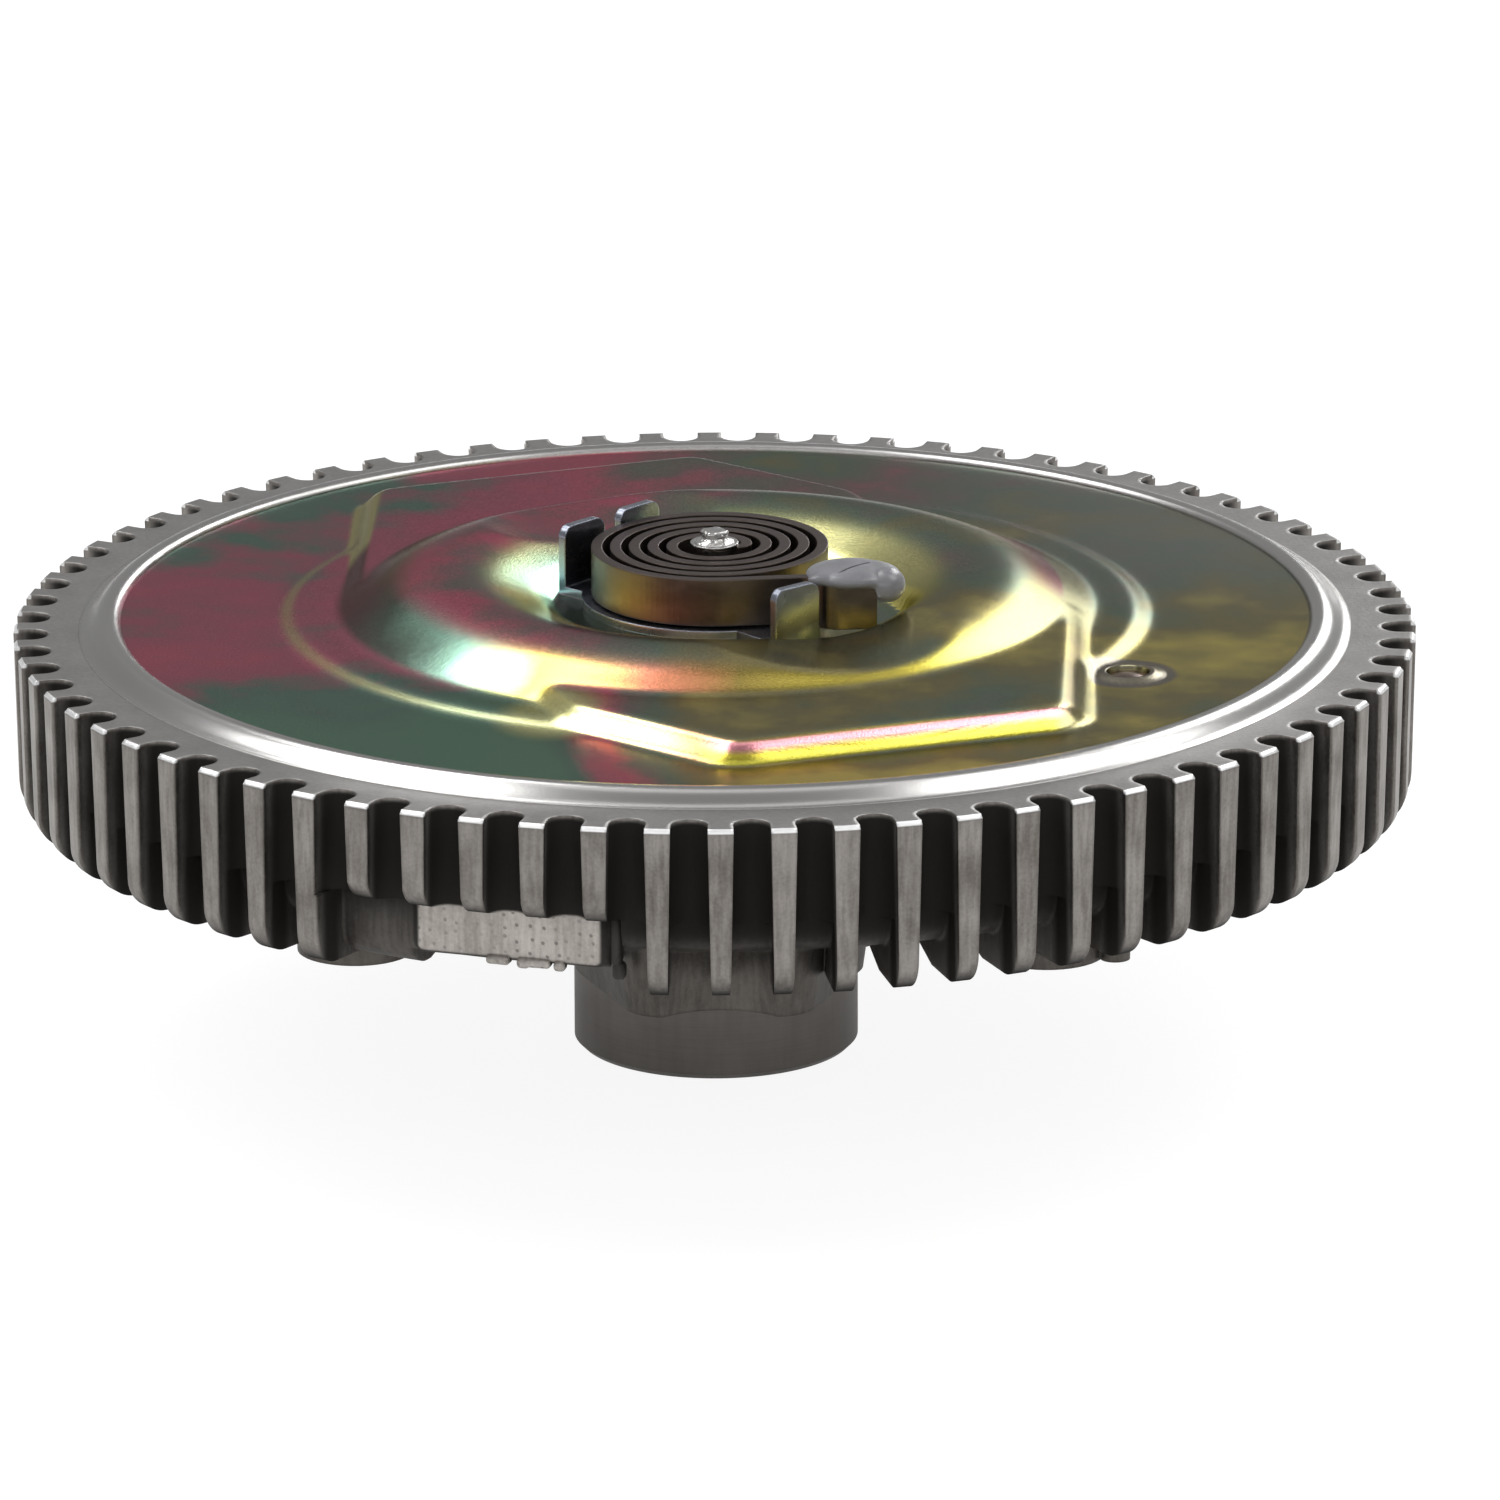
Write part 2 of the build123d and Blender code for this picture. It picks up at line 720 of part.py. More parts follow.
def coil_moves():
    """Straight runs (radius 0 and a length) and arcs (radius and degrees) of the coil's centre line."""
    first = spindle_radius + coil_inner_bend
    start = first + coil_inner_bend
    half_turns = [(start + n * coil_pitch / 2, 180) for n in range(coil_half_turns)]
    last = start + coil_half_turns * coil_pitch / 2
    tab = [(0, spindle_radius * 2), (coil_inner_bend, 90), (first, 90)]
    tail = [
        (last, coil_tail_sweep),
        (0, coil_tail_run),
        (hook_in_radius, hook_in_angle),
        (0, hook_middle_run),
        (hook_out_radius, hook_out_angle),
        (0, hook_end_run),
    ]
    return tab + half_turns + tail


def make_bimetal_coil():
    """Wound bimetal strip, from the slot in the spindle to the bent end beside the post."""
    band = ribbon((-spindle_radius, 0), 0, coil_moves(), coil_strip)
    return Pos(0, 0, coil_bottom) * Rot(0, 0, coil_turn) * extrude(band, coil_top - coil_bottom)


def make_coil_bracket():
    """Folded zinc-plated bracket: a base on the cover, a split wall behind the coil and a post."""
    base = Circle(bracket_disc_radius)
    wall_length = bracket_wall_end - bracket_wall_start
    wall_middle = (bracket_wall_end + bracket_wall_start) / 2
    wall_outer = bracket_wall_distance + bracket_sheet
    wall_turn = Rot(0, 0, bracket_wall_angle)
    post_turn = Rot(0, 0, bracket_post_angle)
    post_outer = bracket_post_distance + bracket_sheet
    base += wall_turn * Pos(wall_outer / 2, -wall_middle) * Rectangle(wall_outer, wall_length)
    post_width = bracket_post_end - bracket_post_start
    post_middle = (bracket_post_end + bracket_post_start) / 2
    base += post_turn * Pos(post_outer / 2, post_middle) * Rectangle(post_outer, post_width)
    size = 2 * bracket_disc_radius
    base -= wall_turn * Pos(wall_outer + size / 2, 0) * Rectangle(size, 2 * size)
    base -= Circle(bush_flange_radius + bracket_bush_gap)
    plate = Pos(0, 0, pocket_floor) * extrude(base, bracket_sheet)

    wall = block(
        bracket_wall_distance, wall_outer, -bracket_wall_end, -bracket_wall_start,
        pocket_floor, bracket_wall_top,
    )
    notch_low = bracket_top + bracket_notch_foot
    wall -= block(
        bracket_wall_distance - overrun, wall_outer + overrun, -bracket_notch_end, -bracket_notch_start,
        notch_low, bracket_wall_top + overrun,
    )
    wall = fillet(wall.edges().filter_by(Axis.X).group_by(Axis.Z)[-1], bracket_corner)
    post = block(
        bracket_post_distance, post_outer, bracket_post_start, bracket_post_end,
        pocket_floor, bracket_post_top,
    )
    post = fillet(post.edges().filter_by(Axis.X).group_by(Axis.Z)[-1], bracket_corner)
    return plate + [wall_turn * wall, post_turn * post]


def make_coil_silicone():
    """Blob of silicone on the bent end of the coil."""
    oval = Ellipse(silicone_length / 2, silicone_width / 2)
    cap = extrude(oval, silicone_rise, taper=silicone_taper)
    return Pos(silicone_x, silicone_y, coil_top) * Rot(0, 0, silicone_turn) * cap


def make_shaft():
    """Steel shaft: threaded hub, bearing seat and rotor seat, turned in one piece."""
    seat = bearing_bore / 2 - press_clearance
    rotor_seat = rotor_seat_radius - press_clearance
    relief_low = hub_thread_depth - hub_relief_height
    groove_low = rotor_clip_bottom
    groove_high = groove_low + shaft_clip_thickness + seat_clearance
    shaft = turned([
        (0, hub_thread_depth),
        (hub_relief_radius, hub_thread_depth),
        (hub_relief_radius, relief_low),
        (hub_thread_radius, relief_low),
        (hub_thread_radius, hub_thread_lead),
        (hub_thread_radius + hub_thread_lead, 0),
        (hub_radius - hub_edge, 0),
        (hub_radius, hub_edge),
        (hub_radius, hub_height - hub_edge),
        (hub_radius - hub_edge, hub_height),
        (shaft_collar_radius, hub_height),
        (shaft_collar_radius, bearing_bottom),
        (seat, bearing_bottom),
        (seat, bearing_top),
        (rotor_seat, bearing_top),
        (rotor_seat, groove_low),
        (rotor_seat - shaft_clip_depth, groove_low),
        (rotor_seat - shaft_clip_depth, groove_high),
        (rotor_seat, groove_high),
        (rotor_seat, rotor_top - shaft_end_chamfer),
        (rotor_seat - shaft_end_chamfer, rotor_top),
        (0, rotor_top),
    ])
    return shaft


def make_rotor():
    """Aluminium rotor: hub, disc and the lands that run between those of the housing."""
    bore = rotor_seat_radius
    hub_low = bearing_top
    neck_top = rotor_top - rotor_hub_length
    outline = [
        (bore, hub_low),
        (shaft_collar_radius, hub_low),
        (shaft_collar_radius, neck_top),
        (rotor_hub_radius, neck_top),
        (rotor_hub_radius, rotor_bottom),
    ]
    for n in range(land_count):
        start = land_start + (n + 0.5) * land_pitch
        outline.append((start, rotor_bottom))
        outline.append((start, rotor_bottom - land_height))
        outline.append((start + land_width, rotor_bottom - land_height))
        outline.append((start + land_width, rotor_bottom))
    outline += [
        (rotor_radius, rotor_bottom),
        (rotor_radius, rotor_top),
        (rotor_recess_radius, rotor_top),
        (rotor_recess_radius, rotor_clip_bottom),
        (bore, rotor_clip_bottom),
    ]
    rotor = turned(outline)
    port = disc(port_radius, rotor_bottom - overrun, rotor_top + overrun, port_circle)
    return rotor - [Rot(0, 0, n * 360 / port_count) * port for n in range(port_count)]


def make_rotor_clip():
    """Open spring ring in the shaft groove that keeps the rotor on its seat."""
    inner = rotor_seat_radius - shaft_clip_depth + seat_clearance / 2
    low = rotor_clip_bottom
    clip = ring(inner + shaft_clip_width, inner, low, low + shaft_clip_thickness)
    high = low + shaft_clip_thickness
    gap = block(0, 2 * rotor_seat_radius, -clip_gap / 2, clip_gap / 2, low - overrun, high + overrun)
    return clip - gap


def make_bearing_circlip():
    """Open spring ring in the bearing boss, under the outer ring of the bearing."""
    outer = bearing_radius + circlip_depth - seat_clearance
    low = bearing_bottom - circlip_thickness
    clip = ring(outer, outer - circlip_width, low, bearing_bottom)
    clip -= block(0, bearing_outside, -clip_gap, clip_gap, low - overrun, bearing_bottom + overrun)
    ear_place = outer - circlip_width + ear_offset
    holes = []
    for side in (-1, 1):
        place = polar(ear_place, side * math.degrees((clip_gap + ear_radius) / ear_place))
        clip += disc(ear_radius, low, bearing_bottom, place.X, place.Y)
        holes.append(disc(ear_radius / 2, low - overrun, bearing_bottom + overrun, place.X, place.Y))
    return clip - holes


def race_groove():
    """Ring that leaves the ball track in both bearing rings."""
    return Pos(0, 0, bearing_middle) * Torus(pitch_radius, ball_radius + race_clearance)


def make_bearing_inner_ring():
    return ring(inner_shoulder, bearing_bore / 2, bearing_bottom, bearing_top) - race_groove()


def make_bearing_outer_ring():
    body = ring(bearing_radius, outer_shoulder, bearing_bottom, bearing_top) - race_groove()
    recess = shield_inset + shield_thickness
    body -= disc(outer_shoulder + shield_seat, bearing_bottom - overrun, bearing_bottom + recess)
    return body - disc(outer_shoulder + shield_seat, bearing_top - recess, bearing_top + overrun)


def make_bearing_shield(low):
    outer = outer_shoulder + shield_seat - press_clearance
    return ring(outer, inner_shoulder + shield_gap, low, low + shield_thickness)


def make_bearing_cage():
    """Band that spaces the balls."""
    half = cage_height / 2
    outer = pitch_radius + cage_wall / 2
    cage = ring(outer, outer - cage_wall, bearing_middle - half, bearing_middle + half)
    pocket = Rot(0, 90, 0) * Cylinder(ball_radius + cage_clearance, 2 * cage_height)
    pocket = Pos(pitch_radius, 0, bearing_middle) * pocket
    return cage - [Rot(0, 0, n * 360 / ball_count) * pocket for n in range(ball_count)]


def make_bearing_balls():
    ball = Pos(pitch_radius, 0, bearing_middle) * Sphere(ball_radius)
    return [Rot(0, 0, n * 360 / ball_count) * ball for n in range(ball_count)]


def save(node, name):
    """Write one node as a STEP file, a list as a group of separate solids."""
    if isinstance(node, list):
        node = Compound(children=[solid for part in node for solid in part.solids()])
    export_step(node, "parts/" + name + ".step")


os.makedirs("parts", exist_ok=True)
save(make_housing(), "housing")
save(make_cover(), "cover")
save(make_fill_plug(), "fill_plug")
save(make_cover_seal(), "cover_seal")
save(make_pump_plate(), "pump_plate")
save(make_wipers(), "wipers")
save(make_wiper_rivets(), "wiper_rivets")
save(make_valve_arm(), "valve_arm")
save(make_valve_spindle(), "valve_spindle")
save(make_coil_washer(), "coil_washer")
save(make_spindle_bush(), "spindle_bush")
save(make_spindle_seal(), "spindle_seal")
save(make_bimetal_coil(), "bimetal_coil")
save(make_coil_bracket(), "coil_bracket")
save(make_coil_silicone(), "coil_silicone")
save(make_shaft(), "shaft")
save(make_rotor(), "rotor")
save(make_rotor_clip(), "rotor_clip")
save(make_bearing_circlip(), "bearing_circlip")
save(make_bearing_inner_ring(), "bearing_inner_ring")
save(make_bearing_outer_ring(), "bearing_outer_ring")
save(make_bearing_shield(bearing_bottom + shield_inset), "bearing_shield_rear")
save(make_bearing_shield(bearing_top - shield_inset - shield_thickness), "bearing_shield_front")
save(make_bearing_cage(), "bearing_cage")
save(make_bearing_balls(), "bearing_balls")
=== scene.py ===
import math

import bpy
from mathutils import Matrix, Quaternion, Vector


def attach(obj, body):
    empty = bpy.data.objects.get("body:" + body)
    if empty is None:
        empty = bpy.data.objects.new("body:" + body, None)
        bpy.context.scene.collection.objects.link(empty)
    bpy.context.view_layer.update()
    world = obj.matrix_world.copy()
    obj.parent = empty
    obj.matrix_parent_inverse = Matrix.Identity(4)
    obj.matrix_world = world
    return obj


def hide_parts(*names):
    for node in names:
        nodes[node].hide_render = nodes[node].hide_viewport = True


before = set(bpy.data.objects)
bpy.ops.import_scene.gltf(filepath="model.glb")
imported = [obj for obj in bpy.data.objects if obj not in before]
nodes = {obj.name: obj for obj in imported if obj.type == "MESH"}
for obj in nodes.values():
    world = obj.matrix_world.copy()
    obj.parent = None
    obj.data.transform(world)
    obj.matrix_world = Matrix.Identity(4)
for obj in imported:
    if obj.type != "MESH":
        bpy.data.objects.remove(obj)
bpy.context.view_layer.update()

# Shaft. Turned and ground steel, dark and lightly oiled, with fine turning lines round it.
# Its lower end is the hub on which the clutch stands, with a left-hand thread in its bore.
mm = 0.001
turn = 2 * math.pi


class Link:
    """One output in a finish. Arithmetic on it lays a Math node."""

    def __init__(self, finish, socket):
        self.finish = finish
        self.socket = socket

    def __add__(self, other):
        return self.finish.maths("ADD", self, other)

    def __sub__(self, other):
        return self.finish.maths("SUBTRACT", self, other)

    def __rsub__(self, other):
        return self.finish.maths("SUBTRACT", other, self)

    def __mul__(self, other):
        return self.finish.maths("MULTIPLY", self, other)

    def __pow__(self, other):
        return self.finish.maths("POWER", self, other)

    __radd__ = __add__
    __rmul__ = __mul__


class Finish:
    """One material, laid node by node on object coordinates."""

    def __init__(self, name, constants):
        self.material = bpy.data.materials.new(name)
        self.material.use_nodes = True
        self.tree = self.material.node_tree
        self.shader = self.tree.nodes["Principled BSDF"]
        for socket, value in constants.items():
            self.shader.inputs[socket].default_value = value
        self.place = self.node("ShaderNodeTexCoord", {}, {}, "Object")
        self.x = self.part(self.place, 0)
        self.y = self.part(self.place, 1)
        self.z = self.part(self.place, 2)

    def node(self, kind, settings, values, output=0):
        made = self.tree.nodes.new(kind)
        for name, value in settings.items():
            if name == "stops":
                self.set_stops(made.color_ramp, value)
            else:
                setattr(made, name, value)
        for name, value in values.items():
            if isinstance(value, Link):
                self.tree.links.new(value.socket, made.inputs[name])
            else:
                made.inputs[name].default_value = value
        return Link(self, made.outputs[output])

    def set_stops(self, ramp, stops):
        while len(ramp.elements) < len(stops):
            ramp.elements.new(1.0)
        for element, (position, colour) in zip(ramp.elements, stops):
            element.position = position
            element.color = (*colour, 1.0)

    def maths(self, operation, *values):
        return self.node("ShaderNodeMath", {"operation": operation}, dict(enumerate(values)))

    def part(self, vector, index):
        """One of the three numbers of a vector."""
        return self.node("ShaderNodeSeparateXYZ", {}, {0: vector}, index)

    def noise(self, size, detail=3.0, stretch=(1, 1, 1)):
        """Noise from 0 to 1 with features of about this size in metres."""
        scaled = self.node("ShaderNodeVectorMath", {"operation": "MULTIPLY"}, {0: self.place, 1: stretch})
        return self.node("ShaderNodeTexNoise", {}, {"Vector": scaled, "Scale": 1 / size, "Detail": detail})

    def step(self, value, start, end):
        """Smooth change from 0 at the start to 1 at the end, which may be the lower of the two."""
        return self.node(
            "ShaderNodeMapRange", {"interpolation_type": "SMOOTHSTEP"},
            {"Value": value, "From Min": start, "From Max": end},
        )

    def mix(self, first, second, share):
        """The first colour where the share is 0, the second where it is 1."""
        return self.node("ShaderNodeMix", {"data_type": "RGBA"}, {0: share, 6: first, 7: second}, 2)

    def ramp(self, value, stops):
        """Colours along a value, given as pairs of a position and a colour."""
        return self.node("ShaderNodeValToRGB", {"stops": stops}, {0: value})

    def distance(self, x, y):
        """Distance from an upright line at x and y."""
        return ((self.x - x) ** 2 + (self.y - y) ** 2) ** 0.5

    def thread(self, pitch, hand):
        """Ridges of a screw thread about the axis, 0 to 1, right-handed with 1 and left-handed with -1."""
        angle = self.maths("ARCTAN2", self.y, self.x)
        phase = self.z * (turn / pitch) - angle * hand
        return self.maths("SINE", phase) * 0.5 + 0.5

    def normal(self, axis):
        """One part of the surface's own normal."""
        return self.part(self.node("ShaderNodeTexCoord", {}, {}, "Normal"), axis)

    def bump(self, height, distance, edge=0.0, strength=1.0):
        """Relief of that height in metres, on edges rounded to a radius."""
        values = {"Height": height, "Distance": distance, "Strength": strength}
        if edge:
            values["Normal"] = self.node("ShaderNodeBevel", {"samples": 6}, {"Radius": edge})
        self.feed("Normal", self.node("ShaderNodeBump", {}, values))

    def feed(self, socket, link):
        self.tree.links.new(link.socket, self.shader.inputs[socket])

    def cover(self, shader, share):
        """Lay another shader over the finish, where the share is 1."""
        under = self.tree.nodes["Material Output"].inputs[0].links[0].from_socket
        mixed = self.node("ShaderNodeMixShader", {}, {0: share, 1: Link(self, under), 2: shader})
        self.tree.links.new(mixed.socket, self.tree.nodes["Material Output"].inputs[0])

    def dress(self, *pieces):
        """Put the finish on pieces, given as objects or as names of the solids."""
        for piece in pieces:
            mesh = nodes[piece].data if isinstance(piece, str) else piece.data
            mesh.materials.clear()
            mesh.materials.append(self.material)
            for polygon in mesh.polygons:
                polygon.material_index = 0


def grey(value, warmth=0.0):
    """A neutral colour, made warmer by a small share."""
    return (value * (1 + warmth), value, value * (1 - warmth), 1.0)


hub_pitch = 1.5 * mm
hub_bore = 14.3 * mm
hub_depth = 12.5 * mm
hub = Finish("hub_steel", {"Metallic": 1.0})
hub_lines = hub.noise(0.22 * mm, 2.0, (0.02, 0.02, 1))
hub_cloud = hub.noise(9 * mm)
hub_smear = hub.noise(1.2 * mm, 3.0, (1, 1, 0.12))
hub_tone = hub_cloud * 0.45 + hub_lines * 0.3 + hub_smear * 0.25
hub.feed("Base Color", hub.mix(grey(0.1, 0.07), grey(0.24, 0.07), hub_tone))
hub.feed("Roughness", 0.3 + hub_lines * 0.18)
in_bore = hub.step(hub.distance(0, 0), hub_bore + 0.3 * mm, hub_bore)
in_bore = in_bore * hub.step(hub.z, hub_depth + 0.5 * mm, hub_depth)
hub_thread = hub.thread(hub_pitch, hand=-1) * in_bore
hub.bump(hub_lines * 0.01 + hub_thread * 0.8, 1 * mm, edge=0.4 * mm)
hub.dress("shaft")

# Bearing and the pieces inside. Ground rings and balls, a pressed cage and two pressed shields.
# An open spring ring, phosphated black, keeps the bearing in the boss of the housing.
# Each row holds a finish with its tone, warmth, roughness, size of grain, and the pieces that have it.
inner_finishes = [
    ("bearing_steel", 0.62, 0.0, 0.12, 0.2, ("bearing_inner_ring", "bearing_outer_ring", "bearing_balls")),
    ("shield_steel", 0.45, 0.02, 0.25, 0.5, ("bearing_shield_rear", "bearing_shield_front", "bearing_cage")),
    ("spring_steel", 0.08, 0.02, 0.35, 0.8, ("rotor_clip", "bearing_circlip")),
    ("rotor_aluminium", 0.6, 0.0, 0.28, 0.3, ("rotor",)),
    ("sheet_steel", 0.5, 0.0, 0.3, 1.2, ("pump_plate", "wipers", "wiper_rivets", "valve_arm")),
    ("bush_bronze", 0.4, 0.3, 0.3, 0.4, ("spindle_bush",)),
]
for name, tone, warmth, roughness, grain, members in inner_finishes:
    metal = Finish(name, {"Metallic": 1.0})
    fleck = metal.noise(grain * mm)
    metal.feed("Base Color", metal.mix(grey(tone * 0.8, warmth), grey(tone * 1.15, warmth), fleck))
    metal.feed("Roughness", roughness + fleck * 0.15)
    metal.bump(fleck, 0.01 * mm)
    metal.dress(*members)
rubber = Finish("seal_rubber", {"Roughness": 0.6})
rubber_grain = rubber.noise(0.6 * mm)
rubber.feed("Base Color", rubber.mix(grey(0.02), grey(0.04), rubber_grain))
rubber.bump(rubber_grain, 0.02 * mm)
rubber.dress("cover_seal", "spindle_seal")

# Housing. Cast aluminium, satin where it was blasted, rough down in the slots and painted nearly black
# there, a painted shade.
# The lip is rolled bright over the cover, and the flat pad at the front is finely pitted.
rim_top = 58.9 * mm
fin_face = 94.6 * mm
slot_root = 92.0 * mm
lip_foot = 86.3 * mm
cap_edge = 94.2 * mm
boss_top = 47 * mm
back_reach = 90.6 * mm
pad_turn = math.radians(-108.1)
pad_face = 88.6 * mm
pad_top = 45.2 * mm
pad_half = 13.2 * mm
pit_spacing = 1.7 * mm
fan_turn = math.radians(-128.2)
fan_circle = 77.5 * mm
fan_hole = 3.5 * mm
fan_holes = 5
fan_pitch = 1.25 * mm
cast = Finish("cast_aluminium", {})
cast_cloud = cast.noise(7 * mm, 4.0)
cast_grain = cast.noise(0.45 * mm, 2.0)
cast_streak = cast.noise(0.7 * mm, 2.0, (1, 1, 0.12))
cast_radius = cast.distance(0, 0)
# The slots are painted nearly black, a painted shade, except on the pad and the fin caps, and mostly spared
# behind the fins.
slot_painted_shade = cast.step(cast_radius, fin_face, slot_root) * cast.step(cast.z, rim_top, rim_top - 0.7 * mm)
on_lip = cast.step(cast_radius, lip_foot, lip_foot - 0.4 * mm)
on_lip = on_lip * cast.step(cast.z, rim_top + 0.11 * mm, rim_top + 0.16 * mm)
# Faces turned upward are painted a lighter grey, a painted light.
top_painted_light = cast.step(cast.normal(2), 0.85, 0.98)
# The chamfered caps of the fins are painted near white, a painted highlight.
cap_painted_highlight = cast.step(cast_radius, cap_edge, cap_edge + 0.25 * mm)
cap_painted_highlight = cap_painted_highlight * cast.step(cast.z, rim_top - 0.55 * mm, rim_top - 0.35 * mm) * (1 - top_painted_light)
# The boss behind and under the fins is painted a darker grey, a painted shade, lighter than the slots.
boss_painted_shade = cast.step(cast_radius, back_reach, back_reach - 2.6 * mm)
boss_painted_shade = boss_painted_shade * cast.step(cast.z, boss_top, boss_top - 7 * mm)
pad_reach = cast.x * math.cos(pad_turn) + cast.y * math.sin(pad_turn)
pad_side = cast.y * math.cos(pad_turn) - cast.x * math.sin(pad_turn)
on_pad = cast.step(pad_reach, pad_face, pad_face + 0.3 * mm) * cast.step(cast.z, pad_top + 0.4 * mm, pad_top)
on_pad = on_pad * cast.step(pad_side ** 2, (pad_half + 1.3 * mm) ** 2, pad_half ** 2)
pad_place = cast.node("ShaderNodeCombineXYZ", {}, {0: pad_side + cast.z * 0.1, 1: cast.z})
pits = cast.node("ShaderNodeTexVoronoi", {"voronoi_dimensions": "2D"}, {
    "Vector": pad_place, "Scale": 1 / pit_spacing, "Randomness": 0.45,
})
pit = cast.step(pits, 0.18, 0.1) * on_pad * cast.step(cast_cloud, 0.3, 0.6)
slot_painted_shade = slot_painted_shade * (1 - on_pad) * (1 - cap_painted_highlight) * (1 - boss_painted_shade * 0.75)
cast_tone = cast_cloud * 0.45 + cast_streak * 0.35 + cast_grain * 0.2
cast_tone = cast.step(cast_tone, 0.25, 0.75)
cast_colour = cast.mix(grey(0.1, 0.12), grey(0.29, 0.06), cast_tone)
cast_colour = cast.mix(cast_colour, cast.mix(grey(0.26, 0.03), grey(0.36, 0.02), cast_tone), top_painted_light)
cast_colour = cast.mix(cast_colour, cast.mix(grey(0.06, 0.12), grey(0.17, 0.1), cast_tone), boss_painted_shade)
pad_colour = cast.mix(grey(0.2, 0.1), grey(0.46, 0.07), cast_tone)
cast_colour = cast.mix(cast_colour, cast.mix(pad_colour, grey(0.06, 0.1), pit * 0.6), on_pad)
cast_colour = cast.mix(cast_colour, grey(0.008, 0.05), slot_painted_shade * 0.96)
cast_colour = cast.mix(cast_colour, grey(0.52, 0.02), on_lip)
cast.feed("Base Color", cast.mix(cast_colour, grey(0.97), cap_painted_highlight))
cast.feed("Metallic", 1 - slot_painted_shade * 0.95 - on_pad * 0.35)
cast.feed("Roughness", (0.34 + cast_grain * 0.14) * (1 - on_lip) + on_lip * 0.22 + slot_painted_shade * 0.25)
half_share = turn / fan_holes / 2
hole_turn = cast.maths("WRAP", cast.maths("ARCTAN2", cast.y, cast.x) - fan_turn, half_share, -half_share)
hole_x = cast_radius * cast.maths("COSINE", hole_turn) - fan_circle
hole_y = cast_radius * cast.maths("SINE", hole_turn)
in_hole = cast.step((hole_x ** 2 + hole_y ** 2) ** 0.5, fan_hole + 0.2 * mm, fan_hole)
hole_phase = cast.z * (turn / fan_pitch) - cast.maths("ARCTAN2", hole_y, hole_x)
hole_thread = cast.maths("SINE", hole_phase) * in_hole
cast_relief = cast_grain * 0.045 + cast_cloud * 0.1 * (1 - on_lip) - pit * 0.06 + hole_thread * 0.3
cast.bump(cast_relief * (1 - on_lip * 0.9), 1 * mm, edge=0.8 * mm, strength=0.7)
# A dark matt sheet laid over the slots, a painted shade.
painted_shade_sheet = cast.node("ShaderNodeBsdfDiffuse", {}, {0: grey(0.012, 0.1)})
cast.cover(painted_shade_sheet, slot_painted_shade * 0.8)

# Cover. Steel sheet pressed into soft steps and held under the lip of the housing.
# Its thin film of yellow passivated zinc shows as drifting colours.
sheet_thickness = 1.8 * mm
sheet_inner = 5.0 * mm
sheet_outer = 83.0 * mm
sheet_rings = 110
sheet_spokes = 360
sheet_start = 80 * mm
flat_top = 60.3 * mm
soft_rise = 6 * mm
middle_radius = 20 * mm
lobe_x = 9.0 * mm
lobe_y = -8.0 * mm
lobe_radius = 15 * mm
fill_x = 55.0 * mm
fill_y = -30.0 * mm
fill_hole = 2.9 * mm


def pick(piece, test):
    """Select the vertices of a piece in edit mode by their place."""
    bpy.ops.mesh.select_all(action="DESELECT")
    bpy.ops.object.mode_set(mode="OBJECT")
    for vertex in piece.data.vertices:
        vertex.select = test(vertex.co)
    bpy.ops.object.mode_set(mode="EDIT")


def add_piece(name, primitive, **shape):
    """Add a primitive with nothing else selected and name it."""
    bpy.ops.object.select_all(action="DESELECT")
    primitive(**shape)
    piece = bpy.context.object
    piece.name = name
    bpy.ops.object.transform_apply(location=True, rotation=True, scale=True)
    return piece


def cad_copy(node, name):
    """Copy the mesh of a solid into a new object."""
    copy = bpy.data.objects.new(name, nodes[node].data.copy())
    bpy.context.scene.collection.objects.link(copy)
    return copy


def choose(piece):
    """Make a piece the only one selected, and the active one."""
    bpy.ops.object.select_all(action="DESELECT")
    piece.select_set(True)
    bpy.context.view_layer.objects.active = piece


def apply(piece, kind, **settings):
    """Add a modifier and apply it."""
    modifier = piece.modifiers.new(kind.lower(), kind)
    for name, value in settings.items():
        setattr(modifier, name, value)
    bpy.ops.object.modifier_apply(modifier=modifier.name)


pressing = cad_copy("cover", "pressing")
sheet = add_piece(
    "cover_sheet", bpy.ops.mesh.primitive_grid_add, x_subdivisions=sheet_rings, y_subdivisions=1, size=1.0,
)
bpy.ops.object.mode_set(mode="EDIT")
pick(sheet, lambda co: co.y > 0)
bpy.ops.mesh.delete(type="VERT")
bpy.ops.mesh.select_all(action="SELECT")
bpy.ops.transform.resize(value=(sheet_outer - sheet_inner, 1, 1), center_override=(0, 0, 0))
bpy.ops.transform.translate(value=((sheet_outer + sheet_inner) / 2, 0.5, sheet_start))
bpy.ops.mesh.spin(steps=sheet_spokes, angle=turn, center=(0, 0, 0), axis=(0, 0, 1))
bpy.ops.mesh.select_all(action="SELECT")
bpy.ops.mesh.remove_doubles(threshold=0.01 * mm)
bpy.ops.mesh.normals_make_consistent(inside=False)
bpy.ops.object.mode_set(mode="OBJECT")
if sheet.data.polygons[0].normal.z < 0:
    sheet.data.flip_normals()
apply(
    sheet, "SHRINKWRAP", target=pressing, wrap_method="PROJECT", use_project_z=True,
    use_negative_direction=True, use_positive_direction=False,
)
bpy.data.objects.remove(pressing)
soft = sheet.vertex_groups.new(name="soft")
for vertex in sheet.data.vertices:
    if vertex.co.z > sheet_start - 5 * mm:
        vertex.co.z = flat_top
    past_middle = math.hypot(vertex.co.x, vertex.co.y) - middle_radius
    past_lobe = math.hypot(vertex.co.x - lobe_x, vertex.co.y - lobe_y) - lobe_radius
    weight = max(0.0, min(1.0, min(past_middle, past_lobe) / soft_rise))
    if weight > 0:
        soft.add([vertex.index], weight, "REPLACE")
